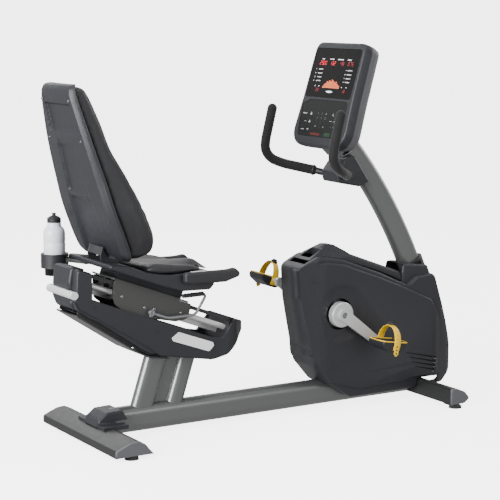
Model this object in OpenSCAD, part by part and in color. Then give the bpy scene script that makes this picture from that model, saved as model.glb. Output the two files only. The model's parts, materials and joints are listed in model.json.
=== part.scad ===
// Recumbent exercise bike: welded frame, belt drive, sliding seat, console on a curved mast.
// +X points forwards, +Y to the rider's left, +Z up. The floor is z = 0.

/* [Base frame] */
// Length from the rear edge of the rear foot to the nose of the front foot
base_len = 1440; // [1380:5:1500]
// Length of each stabilizer across the bike
foot_w = 570; // [520:5:620]
// Height of the main tube
tube_h = 92; // [80:1:100]
// Width of the main tube
tube_w = 60; // [50:1:66]

/* [Seat rails] */
// Downward slope of the seat rails towards the pedals
rail_angle = 20.5; // [19:0.5:22]
// Height of the rail covers' top line above the rear foot's edge
rail_z0 = 595; // [585:1:605]
// Half width of the rail covers
cover_hw = 95; // [92:1:98]
// Diameter of the two guide rods
rod_d = 20; // [16:1:22]
// Distance from the middle plane to each guide rod
rod_y = 42; // [38:1:46]

/* [Drive] */
// Position of the crank axis in front of the rear foot's edge
crank_x = 1000; // [985:1:1015]
// Height of the crank axis
crank_z = 356; // [345:1:370]
// Crank length
crank_len = 170; // [160:1:175]
// Angle of the right crank below the horizontal
crank_angle = 37; // [20:1:50]
// Diameter of the drive pulley
pulley_d = 250; // [220:1:256]
// Diameter of the flywheel
wheel_d = 250; // [220:1:256]

/* [Housing] */
// Half width of the drive housing
housing_hw = 88; // [86:1:92]
// Wall thickness of the plastic covers
wall = 3.5; // [3:0.5:4.5]

/* [Console] */
// Lean of the console's face away from the rider
console_tilt = 17; // [14:1:20]
// Distance between the handlebar grips' centres
grip_span = 442; // [420:2:460]
// Diameter of the handlebar grips
grip_d = 36; // [32:1:38]

/* [Hidden] */
$fn = 48;

// The row's origin lies on the floor under the middle of the whole bike.
mid_x = 731.21;
frame_grey = [0.36, 0.37, 0.38];
plastic = [0.22, 0.22, 0.24];
silver = [0.8, 0.8, 0.82];
yellow = [0.9, 0.72, 0.2];

foot_z = 13;
tube_z = foot_z + 2 + tube_h / 2;
pad_y = foot_w / 2 - 24;
front_foot_x = base_len - 84;
post_lean = 18;
slope = tan(rail_angle);
mast_r = 1760;
mast_c = [-246, -205];
mast_t = 88;
mast_w = 62;
axle_r = 10;
shaft_r = 8;
run_gap = 0.05;
wheel_x = crank_x + 262;
wheel_z = 262;
small_d = 50;
belt_t = 3;
pulley_y = 54;
pulley_t = 15;
arm_y = 104;
arm_t = 17;
pedal_y = 192;
pedal_len = 116;
pedal_w = 94;
pedal_axle_r = 7;
grip_r = grip_d / 2;
cap_t = 8;
plate_y = 76;
plate_t = 4;
bottle_pos = [6, 176, 556];
bottle_r = 37;
lever_pivot = [232, 438];
transport_r = 13.5;
wheel_at = [front_foot_x + 36, 20];
wheel_r = 19;
wheel_y = foot_w / 2 - 66;

// --- geometry helpers -------------------------------------------------------------

function unit(v) = v / norm(v);

// Replaces each corner [x, z, r] of an outline by an arc of radius r.
function corner(a, b, c, steps) =
  let(p = [b[0], b[1]], u = unit([a[0], a[1]] - p), v = unit([c[0], c[1]] - p), r = b[2])
  r == 0 ? [p] :
  let(half = acos(max(-1, min(1, u * v))) / 2, o = p + unit(u + v) * r / sin(half),
      s = p + u * r / tan(half) - o, e = p + v * r / tan(half) - o, w = 180 - 2 * half)
  [for (k = [0:steps]) o + (s * sin(w * (1 - k / steps)) + e * sin(w * k / steps)) / sin(w)];

function rounded(pts, steps = 4) =
  let(n = len(pts))
  [for (i = [0:n - 1]) each corner(pts[(i + n - 1) % n], pts[i], pts[(i + 1) % n], steps)];

// Moves each side of a clockwise or anticlockwise outline inwards by d.
function area2(p) = let(n = len(p)) [for (i = [0:n - 1])
  p[i][0] * p[(i + 1) % n][1] - p[(i + 1) % n][0] * p[i][1]];
function total(v, i = 0) = i == len(v) ? 0 : v[i] + total(v, i + 1);
function inset(p, d) =
  let(n = len(p), sgn = total(area2(p)) > 0 ? 1 : -1)
  [for (i = [0:n - 1])
    let(e1 = unit(p[i] - p[(i + n - 1) % n]), e2 = unit(p[(i + 1) % n] - p[i]),
        n1 = [-e1[1], e1[0]] * sgn, n2 = [-e2[1], e2[0]] * sgn, m = unit(n1 + n2))
    p[i] + m * d / max(0.5, m * n1)];

// Closed solid through rings of equal length, first ring to last.
function total3(v, i = 0) = i == len(v) ? [0, 0, 0] : v[i] + total3(v, i + 1);
function normal(r) = let(n = len(r), c = total3(r) / n)
  total3([for (i = [0:n - 1]) cross(r[i] - c, r[(i + 1) % n] - c)]);
module loft(rings) {
  n = len(rings[0]);
  m = len(rings);
  way = normal(rings[0]) * (total3(rings[1]) - total3(rings[0]));
  points = [for (r = rings) each (way > 0 ? [for (i = [n - 1:-1:0]) r[i]] : r)];
  polyhedron(points, concat(
    [[for (i = [n - 1:-1:0]) i]],
    [[for (i = [0:n - 1]) (m - 1) * n + i]],
    [for (k = [0:m - 2], i = [0:n - 1]) let(j = (i + 1) % n)
      [k * n + i, k * n + j, (k + 1) * n + j, (k + 1) * n + i]]));
}

// Slab across the bike with an outline in X and Z, from y0 to y1, its edge at y1 rounded by e.
module slab(outline, y0, y1, e, depth) {
  s = sign(y1 - y0);
  loft(concat(
    [[for (p = outline) [p[0], y0, p[1]]]],
    [for (a = [0, 45, 90]) [for (p = inset(outline, e * (1 - cos(a))))
      [p[0], y1 - s * depth * (1 - sin(a)), p[1]]]]));
}

module plate(outline, y0, y1)
  translate([0, max(y0, y1), 0]) rotate([90, 0, 0]) linear_extrude(abs(y1 - y0)) polygon(outline);

module rod_y(p, r, y0, y1)
  translate([p[0], min(y0, y1), p[1]]) rotate([-90, 0, 0]) cylinder(h = abs(y1 - y0), r = r);

module oval(a, b) {
  square([a - b, b], center = true);
  for (s = [-1, 1]) translate([s * (a - b) / 2, 0]) circle(d = b);
}

// Joins everything inside into one triangle mesh, for shells with soft edges.
module one_mesh() resize([0, 0, 0]) children();
module at_origin() translate([-mid_x, 0, 0]) children();
module on_rail() translate([0, 0, rail_z0]) rotate([0, rail_angle, 0]) children();
module sides() {
  children();
  mirror([0, 1, 0]) children();
}

// Round bar through a list of points, a cylinder to each length and a ball at each bend.
module bar(points, r) {
  for (i = [0:len(points) - 2]) let(v = points[i + 1] - points[i]) translate(points[i])
    rotate([0, acos(v[2] / norm(v)), atan2(v[1], v[0])]) cylinder(h = norm(v), r = r);
  for (p = points) translate(p) sphere(r = r + 0.02);
}

// --- base frame ----------------------------------------------------------------------

rear_profile = rounded([[0, foot_z, 0], [0, 37, 6], [22, 47, 20], [52, 59, 30], [80, 62, 30],
                        [106, 50, 22], [124, 28, 20], [138, foot_z, 0]]);
front_profile = rounded([[0, foot_z + 4, 0], [0, 76, 6], [30, 74, 26], [62, 60, 30], [84, 34, 9],
                         [60, foot_z + 5, 18], [30, foot_z + 3, 20]]);

module stabilizer(profile, half)
  rotate([90, 0, 0]) linear_extrude(2 * half, center = true) difference() {
    polygon(profile);
    polygon(inset(profile, 3));
  }

module main_tube() color(frame_grey) difference() {
  translate([112, 0, tube_z]) rotate([90, 0, 90]) linear_extrude(front_foot_x - 112) difference() {
    rotate(90) oval(tube_h, tube_w);
    rotate(90) oval(tube_h - 6, tube_w - 6);
  }
  plate(rear_profile, -80, 80);
}

// Holes for the studs of the levelling feet.
module stud_holes(x) for (s = [-1, 1]) translate([x, s * pad_y, 0]) cylinder(h = 30, r = 5);

module rear_stabilizer() color(frame_grey) difference() {
  stabilizer(rear_profile, foot_w / 2 - cap_t);
  stud_holes(66);
}

module front_stabilizer() color(frame_grey) {
  difference() {
    translate([front_foot_x, 0, 0]) stabilizer(front_profile, foot_w / 2 - cap_t);
    for (s = [-1, 1]) translate([wheel_at[0] - 22, s * wheel_y - 12, 0]) cube([44, 24, 46]);
    stud_holes(front_foot_x + 34);
  }
  for (s = [-1, 1]) rod_y(wheel_at, 6, s * wheel_y - 12, s * wheel_y + 12);
}

module stabilizer_cap(profile) {
  y = foot_w / 2 - cap_t;
  slab(profile, y, foot_w / 2, 3, 4);
  plate(inset(profile, 3.2), y - 9, y + 0.01);
}

module stabilizer_caps() color([0.5, 0.5, 0.51]) one_mesh() sides() {
  stabilizer_cap(rear_profile);
  translate([front_foot_x, 0, 0]) stabilizer_cap(front_profile);
}

module levelling_feet() color([0.08, 0.08, 0.08]) {
  for (x = [66, front_foot_x + 34], s = [-1, 1]) translate([x, s * pad_y, 0]) {
    cylinder(h = 9, r1 = 24, r2 = 22);
    cylinder(h = x < 100 ? 16 : 19, r = 5);
  }
}

cover_hump = rounded([[44, 61, 0], [54, 82, 12], [84, 105, 12], [142, 107, 8], [166, 68, 0], [150, 61, 0]]);
module rear_foot_cover() color(plastic) one_mesh() difference() {
  union() {
    sides() slab(cover_hump, 0, 52, 6, 8);
    translate([48, -98, 55]) cube([92, 196, 13]);
  }
  translate([112, 0, tube_z]) rotate([90, 0, 90]) linear_extrude(90) rotate(90) oval(tube_h + 1, tube_w + 1);
  plate(rear_profile, -150, 150);
  translate([114, -60, 0]) cube([70, 120, 74]);
  for (y = [-24, 0, 24]) translate([46, y - 7, 84]) rotate([0, 50, 0]) cube([8, 14, 12]);
}

// Two oval posts and the web between them, from the main tube up to the rails.
module seat_posts() color(frame_grey) difference() {
  union() {
    for (p = [[228, 82], [352, 62]]) intersection() {
      translate([p[0], 0, tube_z]) rotate([0, post_lean, 0]) translate([0, 0, -50])
        linear_extrude(380) difference() {
          oval(p[1], 46);
          oval(p[1] - 6, 40);
        }
      plate([[100, 40], [700, 40], [700, 200], [520, 244], [300, 270], [228, 282], [190, 301], [100, 350]], -40, 40);
    }
    plate([[258, 60], [336, 60], [392, 256], [322, 266]], -3, 3);
  }
  translate([100, 0, tube_z]) rotate([90, 0, 90]) linear_extrude(500) rotate(90) oval(tube_h, tube_w);
}

// --- seat rails ------------------------------------------------------------------------

rail_side = [[-18, 500], [30, 496], [520, 302], [522, 290], [470, 254], [228, 293], [188, 313], [-30, 452]];
module rail_frame() color([0.62, 0.63, 0.64]) {
  difference() {
    union() {
      sides() plate(rail_side, 66, 70);
      plate([[-34, 448], [-31, 444], [187, 302], [226, 283], [300, 271], [301, 276], [228, 288],
             [190, 307], [-28, 449]], -86, 86);
      on_rail() for (s = [14, 592]) translate([s, -70, -118]) cube([8, 140, 103]);
      on_rail() sides() translate([19, 64.5, -16]) cube([581, 8, 13]);
    }
    on_rail() for (y = [-rod_y, rod_y]) translate([-20, y, -40]) rotate([0, 90, 0]) cylinder(h = 700, d = rod_d);
    on_rail() translate([-20, -4, -66]) cube([700, 8, 26]);
  }
}

module guide_rods() color(silver) on_rail()
  for (y = [-rod_y, rod_y]) translate([14, y, -40]) rotate([0, 90, 0]) cylinder(h = 586, d = rod_d);

module lock_bar() color(silver) on_rail() translate([14, -4, -66]) cube([586, 8, 26]);

transport_p = [-50, 521];
strut = [[-58, 520], [-40, 512], [-20, 484], [6, 470], [10, 492], [-30, 530], [-52, 530]];
module transport_handle() color(silver) {
  rod_y(transport_p, transport_r, -96, 96);
  sides() plate(strut, 70, 76);
}

cover_outline = rounded([[-38, 608, 12], [12, rail_z0 - 12 * slope, 0], [640, rail_z0 - 640 * slope, 12],
  [588, 318, 40], [532, 262, 40], [470, 249, 60], [224, 292, 60], [40, 416, 0], [-34, 468, 26], [-46, 500, 12]]);

// Set-in band along the lower edge of the covers.
cover_band = [[-60, 505], [-42, 501], [-28, 474], [76, 412], [217, 326], [262, 290], [300, 264], [300, 200], [-60, 200]];

// Plan of the covers, with the nose bulging forwards in the middle.
function nose_plan(d) = inset(rounded([[-200, -cover_hw, 0], [556, -cover_hw, 70], [616, -40, 50], [628, 0, 70],
  [616, 40, 50], [556, cover_hw, 70], [-200, cover_hw, 0]]), d);
module in_plan() linear_extrude(900) polygon(nose_plan(0));
// Plan of the hollow inside the covers.
module in_hollow() linear_extrude(900) polygon(rounded([[-200, wall - cover_hw, 0], [546, wall - cover_hw, 60],
  [602, -38, 20], [612, 0, 30], [602, 38, 20], [546, cover_hw - wall, 60], [-200, cover_hw - wall, 0]]));

module cover_body(s) one_mesh() difference() {
  intersection() {
    slab(cover_outline, 0, s * cover_hw, 8, 12);
    in_plan();
  }
  plate(cover_band, s * (cover_hw - 9), s * (cover_hw + 9));
  // hollow inside, open along the top
  intersection() {
    union() {
      slab(inset(cover_outline, wall), -s * 5, s * (cover_hw - 9 - wall), 8, 12);
      plate([[16, 700], [16, 560], [16, 520], [300, 400], [640, 280], [700, 700]], -s * 5, s * (cover_hw - wall - 9));
    }
    in_hollow();
  }
  // way out for the transport handle
  hull() for (x = [0, -40]) rod_y(transport_p + [x, 0], transport_r + 2, s * 50, s * 120);
  plate(inset(rail_side, -0.3), s * 65.7, s * 70.3);
  // space for the rear end cap
  plate([[-80, 430], [4, 430], [4, 660], [-80, 660]], -s * 5, s * 62.3);
  // open bottom for the posts and the frame's lower flange
  plate([[-60, 400], [-60, 474], [40, 424], [190, 322], [228, 300], [330, 282], [460, 264], [460, 200], [200, 200]],
        -s * 5, s * (cover_hw - 8));
  // window beside the carriage
  plate(rounded([[14, 640, 0], [14, 500, 4], [rail_x(534, -85), rail_z(534, -85), 8],
                 [rail_x(572, -78), rail_z(572, -78), 6], [rail_x(600, 10), rail_z(600, 10), 0]]),
        s * (cover_hw - 22), s * (cover_hw + 5));
}
function rail_x(s, n) = s * cos(rail_angle) + n * sin(rail_angle);
function rail_z(s, n) = rail_z0 - s * sin(rail_angle) + n * cos(rail_angle);

module rail_cover_right() color(plastic) cover_body(-1);
module rail_cover_left() color(plastic) mirror([0, 1, 0]) cover_body(-1);

module rail_end_cap() color(plastic) one_mesh() difference() {
  sides() slab(rounded([[-44, 612, 14], [4, 600, 0], [4, 452, 0], [-20, 456, 12], [-48, 480, 26], [-54, 560, 30]]),
               0, 62, 10, 10);
  plate([[-90, 503], [-48, 505], [-36, 511], [-33, 521], [-36, 531], [-48, 537], [-90, 539]], -80, 80);
  plate([[60, 680], [46, 680], [-36, 460.3], [60, 420]], -80, 80);
}

module label_plate() color([0.92, 0.92, 0.92])
  translate([0, -cover_hw - 1.8, 0]) on_rail() translate([375, 0, -136]) rotate([90, 0, 0])
    linear_extrude(1.8) polygon(rounded([[19, 35, 6], [160, 36, 8], [168, 26, 6], [156, 2, 8], [8, 0, 6], [0, 10, 5]]));

screw_spots = [[20, 478], [250, 372], [540, 300]];
module screw(p, y, s) {
  rod_y(p, 4, y, y + s * 1.6);
  rod_y(p, 1.9, y + s * 0.2, y - s * 5);
}
module cover_screws() color([0.1, 0.1, 0.1]) {
  for (s = [-1, 1], p = screw_spots) screw(p, s * cover_hw, s);
  for (s = [-1, 1], p = housing_spots) screw(p, s * housing_hw, s);
}
housing_spots = [[960, 160], [1180, 90], [1485, 190], [890, 480]];

// --- drive unit ----------------------------------------------------------------------

drive_outline = rounded([[1060, 56, 10], [965, 114, 20], [950, 340, 20], [crank_x - 40, crank_z + 42, 30],
  [crank_x + 60, crank_z + 60, 40], [1306, 420, 20], [1350, 448, 20], [1416, 450, 16], [1492, 180, 20],
  [1492, 110, 30], [1450, 60, 20]]);
module drive_frame() color([0.3, 0.3, 0.31]) difference() {
  union() {
    sides() plate(drive_outline, 37, 41);
    rod_y([crank_x, crank_z], 25, -44, 44);
    plate([[1396, 232], [1470, 232], [1484, 180], [1440, 92], [1396, 92]], -37, 37);
  }
  rod_y([crank_x, crank_z], 20, -80, 80);
  rod_y([wheel_x, wheel_z], 16, -80, 80);
  rod_y([crank_x + 130, crank_z - 130], 60, -80, 80);
  translate([800, 0, tube_z]) rotate([90, 0, 90]) linear_extrude(700) rotate(90) oval(tube_h + 0.2, tube_w + 0.2);
  mast_solid(mast_t + 0.6, mast_w + 0.6);
  plate([[1350, 0], [1600, 0], [1600, 90], [1350, 90]], -80, 80);
}

module ring(p, r1, r2, y0, y1) difference() {
  rod_y(p, r1, y0, y1);
  rod_y(p, r2, min(y0, y1) - 1, max(y0, y1) + 1);
}

module crank_bearings() color(silver) sides() ring([crank_x, crank_z], 20, axle_r + run_gap, 30, 44);
module flywheel_bearings() color(silver) sides() ring([wheel_x, wheel_z], 16, shaft_r + run_gap, 36, 42);

module generator() color([0.5, 0.42, 0.3]) ring([wheel_x, wheel_z], 62, 14, -42.1, -70);

module belt_loop(grow) hull() {
  translate([crank_x, -crank_z]) circle(r = pulley_d / 2 + grow, $fn = 96);
  translate([wheel_x, -wheel_z]) circle(r = small_d / 2 + grow, $fn = 48);
}
module drive_belt() color([0.05, 0.05, 0.05])
  translate([0, pulley_y - 6, 0]) rotate([-90, 0, 0]) linear_extrude(12) difference() {
    belt_loop(0.4 + belt_t);
    belt_loop(0.4);
  }

housing_outline = rounded([[900, 172, 30], [846, 420, 60], [838, 530, 20], [922, 569, 44],
  [1020, 552, 60], [1180, 492, 60], [1310, 434, 30], [1350, 462, 24], [1432, 468, 22], [1528, 172, 30],
  [1530, 96, 44], [1470, 48, 26], [1310, 41, 0], [1056, 41, 20], [962, 100, 30]]);
neck_outline = rounded([[1284, 420, 14], [1300, 512, 14], [1412, 500, 14], [1440, 430, 14], [1380, 380, 14]]);

// Plan of the housing, narrower at the rear and rounded at the front.
housing_plan = rounded([[822, -54, 24], [930, -housing_hw, 110], [1430, -housing_hw, 90], [1534, -50, 60],
  [1545, 0, 150], [1534, 50, 60], [1430, housing_hw, 90], [930, housing_hw, 110], [822, 54, 24]], 5);
module in_housing_plan(d) linear_extrude(700) polygon(inset(housing_plan, d));

// Raised panel on the side, within the outline, with a ledge above it.
panel_outline = rounded([[890, 200, 40], [868, 420, 60], [862, 510, 20], [930, 550, 44], [1016, 536, 60],
  [1180, 474, 60], [1300, 424, 100], [1415, 372, 30], [1508, 180, 30], [1515, 110, 40], [1440, 84, 30],
  [1080, 70, 60], [960, 110, 40]]);
dish_r = 112;
module dish(s) translate([crank_x + 6, s * housing_hw, crank_z + 2]) rotate([s * 90, 0, 0]) rotate_extrude($fn = 64)
  polygon([[0, 6.5], [58, 6.5], [84, 4.8], [100, 2], [dish_r, -0.4], [dish_r, -9], [0, -9]]);

module housing_half(s) one_mesh() difference() {
  union() {
    intersection() {
      union() {
        slab(housing_outline, 0, s * (housing_hw - 10), 10, 12);
        slab(panel_outline, 0, s * housing_hw, 9, 9);
      }
      in_housing_plan(0);
    }
    slab(neck_outline, 0, s * 60, 10, 20);
  }
  intersection() {
    slab(inset(housing_outline, wall), -s * 5, s * (housing_hw - 10 - wall), 9, 11);
    in_housing_plan(wall);
  }
  slab(inset(neck_outline, wall), -s * 5, s * (60 - wall), 9, 18);
  // crank opening and the shallow dish round it
  rod_y([crank_x, crank_z], 57, s * 60, s * 120);
  dish(s);
  // rear and bottom ways out for the main tube and front foot
  translate([780, 0, tube_z]) rotate([90, 0, 90]) linear_extrude(800) rotate(90) oval(tube_h + 4, tube_w + 3);
  translate([front_foot_x - 2, -200, 0]) cube([92, 400, 79]);
  // opening for the mast
  mast_solid(mast_t + 5, mast_w + 5);
  // ventilation slots
  for (k = [0:3]) plate([[1290 + 14 * k, 186 - 19 * k], [1440 - 4 * k, 152 - 15 * k], [1438 - 4 * k, 146 - 15 * k],
    [1300 + 14 * k, 182 - 19 * k]], s * (housing_hw - 7), s * (housing_hw + 5));
  // seat for the top cover
  plate(top_seat, s > 0 ? -1 : -50, s > 0 ? 50 : 1);
}
top_seat = [[820, 700], [868, 544], [920, 526], [1020, 531], [1300, 432], [1300, 440], [1330, 700]];

module housing_right() color(plastic) housing_half(-1);
module housing_left() color(plastic) mirror([0, 1, 0]) housing_half(-1);

top_outline = rounded([[872, 534, 0], [890, 556, 13], [984, 602, 14], [1010, 600, 10], [1066, 565, 12],
  [1290, 482, 13], [1300, 440, 0], [1180, 486, 0], [1030, 532, 0], [920, 527, 0]]);
module housing_top_cover() color(plastic) one_mesh() difference() {
  intersection() {
    sides() slab(top_outline, 0, 60, 12, 14);
    // narrow ridge, sloping down to both sides
    translate([800, 0, 0]) rotate([90, 0, 90]) linear_extrude(600)
      polygon([[-20, 606], [20, 606], [62, 556], [62, 400], [-62, 400], [-62, 556]]);
  }
  // tray for a phone or a book
  plate([[898, 640], [904, 537], [950, 552], [962, 640]], -30, 30);
  mast_solid(mast_t + 10, mast_w + 5);
  for (s = [-1, 1]) slab(inset(housing_outline, -0.3), 0, s * (housing_hw + 0.3), 14, 14);
  for (s = [-1, 1]) slab(inset(neck_outline, -0.3), 0, s * 60.3, 10, 20);
}

module flywheel() color([0.25, 0.25, 0.26]) difference() {
  union() {
    rod_y([wheel_x, wheel_z], wheel_d / 2, -17, 17);
    rod_y([wheel_x, wheel_z], shaft_r, -66, 66);
    rod_y([wheel_x, wheel_z], small_d / 2, 46, 62);
    rod_y([wheel_x, wheel_z], 14, -22, 22);
  }
  sides() ring([wheel_x, wheel_z], wheel_d / 2 - 26, 32, 8, 20);
}

// --- mast, handlebar and console --------------------------------------------------------

module mast_solid(t, w) translate([mast_c[0], 0, mast_c[1]]) rotate([90, 0, 0]) rotate([0, 0, 12])
  rotate_extrude(angle = 30, $fn = 180) translate([mast_r, 0]) oval(t, w);

module mast() color(frame_grey) difference() {
  translate([mast_c[0], 0, mast_c[1]]) rotate([90, 0, 0]) rotate([0, 0, 14.5])
    rotate_extrude(angle = 26.2, $fn = 180) translate([mast_r, 0]) oval(mast_t, mast_w);
  translate([mast_c[0], 0, mast_c[1]]) rotate([90, 0, 0]) rotate([0, 0, 12])
    rotate_extrude(angle = 32, $fn = 180) translate([mast_r, 0]) oval(mast_t - 6, mast_w - 6);
}

module mast_collar() color([0.12, 0.12, 0.13]) one_mesh() difference() {
  translate([mast_c[0], 0, mast_c[1]]) rotate([90, 0, 0]) rotate([0, 0, 22.6])
    rotate_extrude(angle = 1.4, $fn = 180) translate([mast_r, 0]) oval(mast_t + 26, mast_w + 24);
  mast_solid(mast_t + 0.8, mast_w + 0.8);
  for (s = [-1, 1]) slab(inset(neck_outline, -0.3), -s, s * 61, 10, 20);
}

clamp_pos = [1052, 846];
module bar_clamp() color(plastic) one_mesh() difference() {
  sides() slab(rounded([[1010, 826, 9], [1004, 862, 14], [1040, 908, 10], [1082, 920, 9], [1150, 822, 9], [1106, 806, 9]]),
               0, 52, 8, 10);
  mast_solid(mast_t + 0.8, mast_w + 0.8);
  rod_y(clamp_pos, bar_r + 0.1, -60, 60);
}

function grip_pt(z) = [903 + (z - 1080) * 0.25, grip_span / 2, z];
bar_r = 12.5;
bar_path = [[clamp_pos[0], 66, clamp_pos[1]], [1010, 110, 858], [930, 192, 880], [892, 214, 898],
            [872, 221, 930], grip_pt(965), grip_pt(1080)];
module handlebar() color([0.15, 0.15, 0.16]) {
  rod_y(clamp_pos, bar_r, -bar_path[0][1], bar_path[0][1]);
  sides() bar(bar_path, bar_r);
}
module bar_grips() color([0.1, 0.1, 0.1]) difference() {
  sides() bar([for (i = [1:len(bar_path) - 1]) bar_path[i]], grip_r);
  handlebar();
}

// The console's own frame: x across the face's depth, z up along the face.
console_o = [975, 1062];
module at_console() translate([console_o[0], 0, console_o[1]]) rotate([0, console_tilt, 0]) children();
console_plan = rounded([[-172, -112, 62], [172, -112, 62], [160, 60, 0], [154, 272, 34], [-154, 272, 34], [-160, 60, 0]], 8);

// Outline in Y and Z, thickened along X with a rounded edge at x1.
module face_slab(outline, x0, x1, e, depth) rotate([0, 0, 90]) slab(outline, -x0, -x1, e, depth);

module console_front() color(plastic) one_mesh() at_console() difference() {
  face_slab(console_plan, 34, 0, 10, 12);
  face_slab(inset(console_plan, wall), 36, wall, 9, 10);
  // recesses for the lens and the keypad
  face_slab(lens_plan, 10, -5, 0.01, 0.01);
  face_slab(keypad_plan, 10, -5, 0.01, 0.01);
}
lens_plan = rounded([[-142, 66, 10], [142, 66, 10], [143, 248, 12], [-143, 248, 12]]);
keypad_plan = rounded([[-138, -78, 34], [132, -78, 20], [146, 46, 10], [126, 46, 6], [100, 58, 8], [-138, 58, 16]]);
module display_lens() color([0.05, 0.06, 0.06]) one_mesh() at_console() face_slab(inset(lens_plan, 0.3), 4.6, 1.2, 0.6, 0.6);
module keypad() color([0.1, 0.11, 0.11]) one_mesh() at_console() face_slab(inset(keypad_plan, 0.3), 4.6, 1.0, 0.6, 0.6);

module console_back() color([0.45, 0.45, 0.47]) one_mesh() at_console() difference() {
  union() {
    face_slab(inset(console_plan, 1.5), 34.3, 80, 26, 30);
    sides() slab(rounded([[40, -100, 10], [44, 0, 20], [98, -10, 20], [112, -60, 16], [96, -128, 10]]),
                                      0, 48, 10, 12);
  }
  face_slab(inset(console_plan, 1.5 + wall), 20, 80 - wall, 25, 28);
  rotate([0, -console_tilt, 0]) translate([-console_o[0], 0, -console_o[1]]) mast_solid(mast_t + 0.8, mast_w + 0.8);
}

// --- crank and pedals ----------------------------------------------------------------------

module on_crank(a) translate([crank_x, 0, crank_z]) rotate([0, a, 0]) children();

module crank_axle() color(silver) difference() {
  rod_y([crank_x, crank_z], axle_r, -arm_y - 4, arm_y + 4);
  sides() rod_y([crank_x, crank_z], 4, arm_y - 16, arm_y + 6);
}

module drive_pulley() color([0.12, 0.12, 0.13]) difference() {
  union() {
    ring([crank_x, crank_z], pulley_d / 2, pulley_d / 2 - 14, pulley_y - 7.5, pulley_y + 7.5);
    rod_y([crank_x, crank_z], pulley_d / 2 - 10, pulley_y - 2, pulley_y + 2);
    rod_y([crank_x, crank_z], 24, pulley_y - 7.5, pulley_y + 10);
  }
  rod_y([crank_x, crank_z], axle_r, 0, 80);
  for (a = [0:60:300]) rod_y([crank_x + 72 * cos(a), crank_z + 72 * sin(a)], 22, 0, 80);
}

// Crank arm along +X from the axis, its outer face towards -Y.
module crank_arm() difference() {
  union() {
    rotate([90, 0, 0]) translate([0, 0, 80]) cylinder(h = 22, r = 46);
    rotate([90, 0, 0]) translate([0, 0, 102]) cylinder(h = 4, r1 = 46, r2 = 42);
    translate([0, -102, 0]) rotate([90, 0, 0]) linear_extrude(15) polygon(rounded(
      [[-22, -23, 20], [60, -20, 0], [crank_len + 16, -16, 15.5], [crank_len + 16, 16, 15.5], [60, 20, 0], [-22, 23, 20]]));
  }
  rotate([90, 0, 0]) cylinder(h = 260, r = axle_r + 0.01, center = true);
  translate([crank_len, 0, 0]) rotate([90, 0, 0]) cylinder(h = 260, r = pedal_axle_r, center = true);
  rotate([90, 0, 0]) translate([0, 0, 109]) cylinder(h = 12, r = 11);
}
module crank_arm_right() color([0.88, 0.88, 0.89]) on_crank(crank_angle) crank_arm();
module crank_arm_left() color([0.88, 0.88, 0.89]) on_crank(crank_angle + 180) mirror([0, 1, 0]) crank_arm();
module crank_bolts() color([0.3, 0.3, 0.3]) for (s = [-1, 1]) {
  rod_y([crank_x, crank_z], 8.5, s * 108.3, s * 114);
  rod_y([crank_x, crank_z], 4, s * 89, s * 108.4);
}

right_pedal = [crank_x + crank_len * cos(crank_angle), crank_z - crank_len * sin(crank_angle)];
left_pedal = [crank_x - crank_len * cos(crank_angle), crank_z + crank_len * sin(crank_angle)];
module pedal_axles() color(silver) for (q = [[right_pedal, -1], [left_pedal, 1]]) {
  rod_y(q[0], pedal_axle_r, q[1] * 103, q[1] * (pedal_y + 38));
  rod_y(q[0], 10, q[1] * 117.2, q[1] * 122);
}

// Pedal centred on its axle, toe towards +X, outer side towards -Y.
pedal_side = rounded([[-58, 14, 6], [-50, -10, 16], [-16, -26, 18], [16, -26, 18], [50, -10, 16], [58, 14, 6],
                      [40, 9, 20], [-40, 9, 20]]);
module pedal() difference() {
  one_mesh() {
    slab(pedal_side, 0, pedal_w / 2, 4, 6);
    slab(pedal_side, 0, -pedal_w / 2, 4, 6);
  }
  rotate([90, 0, 0]) cylinder(h = pedal_w * 2, r = pedal_axle_r + run_gap, center = true);
}
// Two-piece strap arching over the toe side, with its buckle.
function strap_pt(t) = [2 + 2 * cos(t), -cos(t) * (pedal_w / 2 + 2), 6 + 58 * sin(t)];
strap_w = 26;
module strap() {
  loft([for (t = [-16:12:176]) let(c = strap_pt(t), n = unit([0, -cos(t) * 58, sin(t) * 48]))
    [for (q = [[-1, 0], [1, 0], [1, 2.4], [-1, 2.4]])
      [c[0] + q[0] * strap_w / 2, c[1] + n[1] * q[1], c[2] + n[2] * q[1]]]]);
  translate([2, 13, 62]) rotate([-13, 0, 0]) cylinder(h = 11, r = 12);
}
module placed_pedal(p, s, tilt) translate([p[0], s * pedal_y, p[1]]) rotate([0, tilt, 0]) children();
module pedal_right() color(plastic) placed_pedal(right_pedal, -1, 9) pedal();
module pedal_left() color(plastic) placed_pedal(left_pedal, 1, 18) pedal();
module pedal_strap_right() color(yellow) placed_pedal(right_pedal, -1, 9) strap();
module pedal_strap_left() color(yellow) placed_pedal(left_pedal, 1, 18) mirror([0, 1, 0]) strap();

// --- seat --------------------------------------------------------------------------------------

carriage_outline = rounded([[100, on_top(100) - 2, 8], [100, 478, 26], [150, 440, 60], [236, 416, 60], [330, 396, 50],
  [376, 400, 22], [392, 446, 10], [388, on_top(388) - 2, 6]]);
function on_top(x) = rail_z0 - x * slope + 4;
module carriage() color([0.52, 0.54, 0.52]) difference() {
  union() {
    sides() plate(carriage_outline, plate_y, plate_y + plate_t);
    on_rail() translate([104, -plate_y - plate_t, 2]) cube([300, 2 * (plate_y + plate_t), 6]);
    on_rail() for (s = [128, 322], y = [-rod_y, rod_y]) translate([s, y - 21, -60]) cube([56, 42, 62]);
    on_rail() for (s = [128, 322]) sides() translate([s, rod_y + 15, -60]) cube([56, plate_y - rod_y - 15, 34]);
  }
  on_rail() for (y = [-rod_y, rod_y]) translate([100, y, -40]) rotate([0, 90, 0]) cylinder(h = 320, r = rod_d / 2 + 6);
  rod_y(lever_pivot, 6.05, -100, -60);
}
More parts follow.
